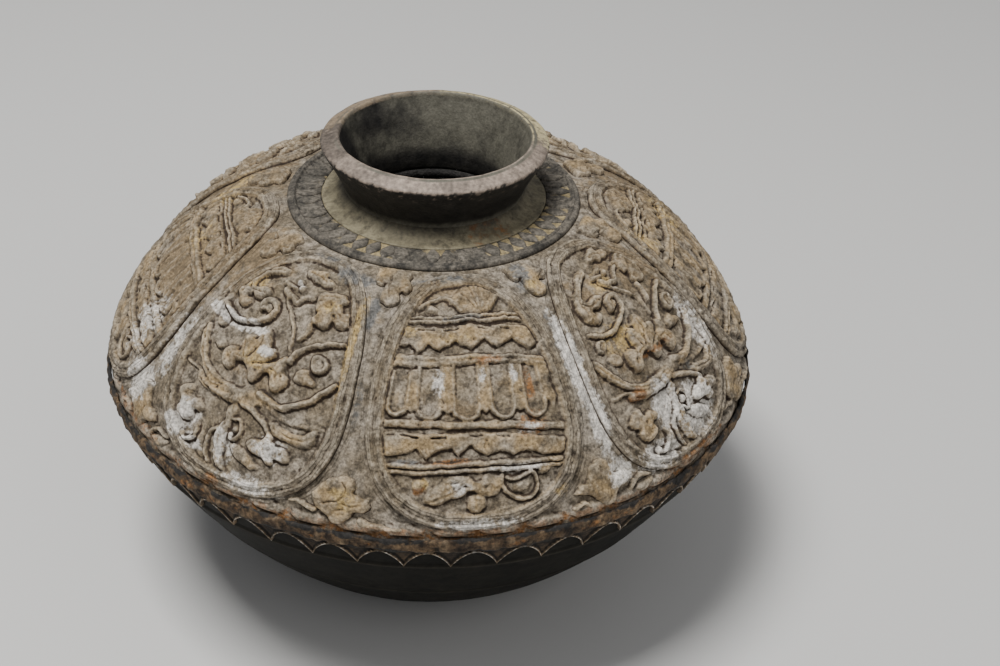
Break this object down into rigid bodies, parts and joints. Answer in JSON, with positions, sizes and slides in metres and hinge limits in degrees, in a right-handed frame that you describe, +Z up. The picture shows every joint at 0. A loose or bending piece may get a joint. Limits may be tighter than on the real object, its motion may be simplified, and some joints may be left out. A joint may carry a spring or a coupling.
{
  "type": "earthenware vase",
  "caption": "squat unglazed moulded earthenware vase with a short flared neck, raised cartouches on the shoulder, a scalloped belly and a low foot",
  "frame": {"origin": "centre of the face that the foot ring stands on", "axes": "+Z up along the axis of the vase, -Y towards the front, where the middle of the first arcade cartouche lies 8.2 degrees to the right, +X to the right"},
  "size_m": [0.2304, 0.2304, 0.1612],
  "materials": {
    "sooty_clay": "smoke-blackened, unglazed, worn at the lip",
    "khaki_clay": "smooth unglazed clay with a thin grey film",
    "buff_clay": "matt buff clay with dirt in the hollows",
    "relief_clay": "matt buff relief, rubbed pale on top, lime and rust stains",
    "rust_clay": "matt clay with rust-brown stains",
    "smoked_clay": "dark grey, slightly burnished"
  },
  "bodies": {
    "root": {"neck": "sooty_clay", "neck_collar": "khaki_clay", "neck_ring": "khaki_clay", "shoulder": "buff_clay", "belly_seam_coil": "khaki_clay", "belly_border": "rust_clay", "scallop_frieze": "rust_clay", "lower_bowl": "smoked_clay", "foot_ring": "smoked_clay", "arcade_panel_1": "relief_clay", "foliate_panel_1": "relief_clay", "arcade_panel_2": "relief_clay", "foliate_panel_2": "relief_clay", "arcade_panel_3": "relief_clay", "foliate_panel_3": "relief_clay", "arcade_panel_4": "relief_clay", "foliate_panel_4": "relief_clay", "upper_leaf_1": "relief_clay", "lower_leaf_1": "relief_clay", "upper_leaf_2": "relief_clay", "lower_leaf_2": "relief_clay", "upper_leaf_3": "relief_clay", "lower_leaf_3": "relief_clay", "upper_leaf_4": "relief_clay", "lower_leaf_4": "relief_clay", "upper_leaf_5": "relief_clay", "lower_leaf_5": "relief_clay", "upper_leaf_6": "relief_clay", "lower_leaf_6": "relief_clay", "upper_leaf_7": "relief_clay", "lower_leaf_7": "relief_clay", "upper_leaf_8": "relief_clay", "lower_leaf_8": "relief_clay"}
  },
  "joints": []
}
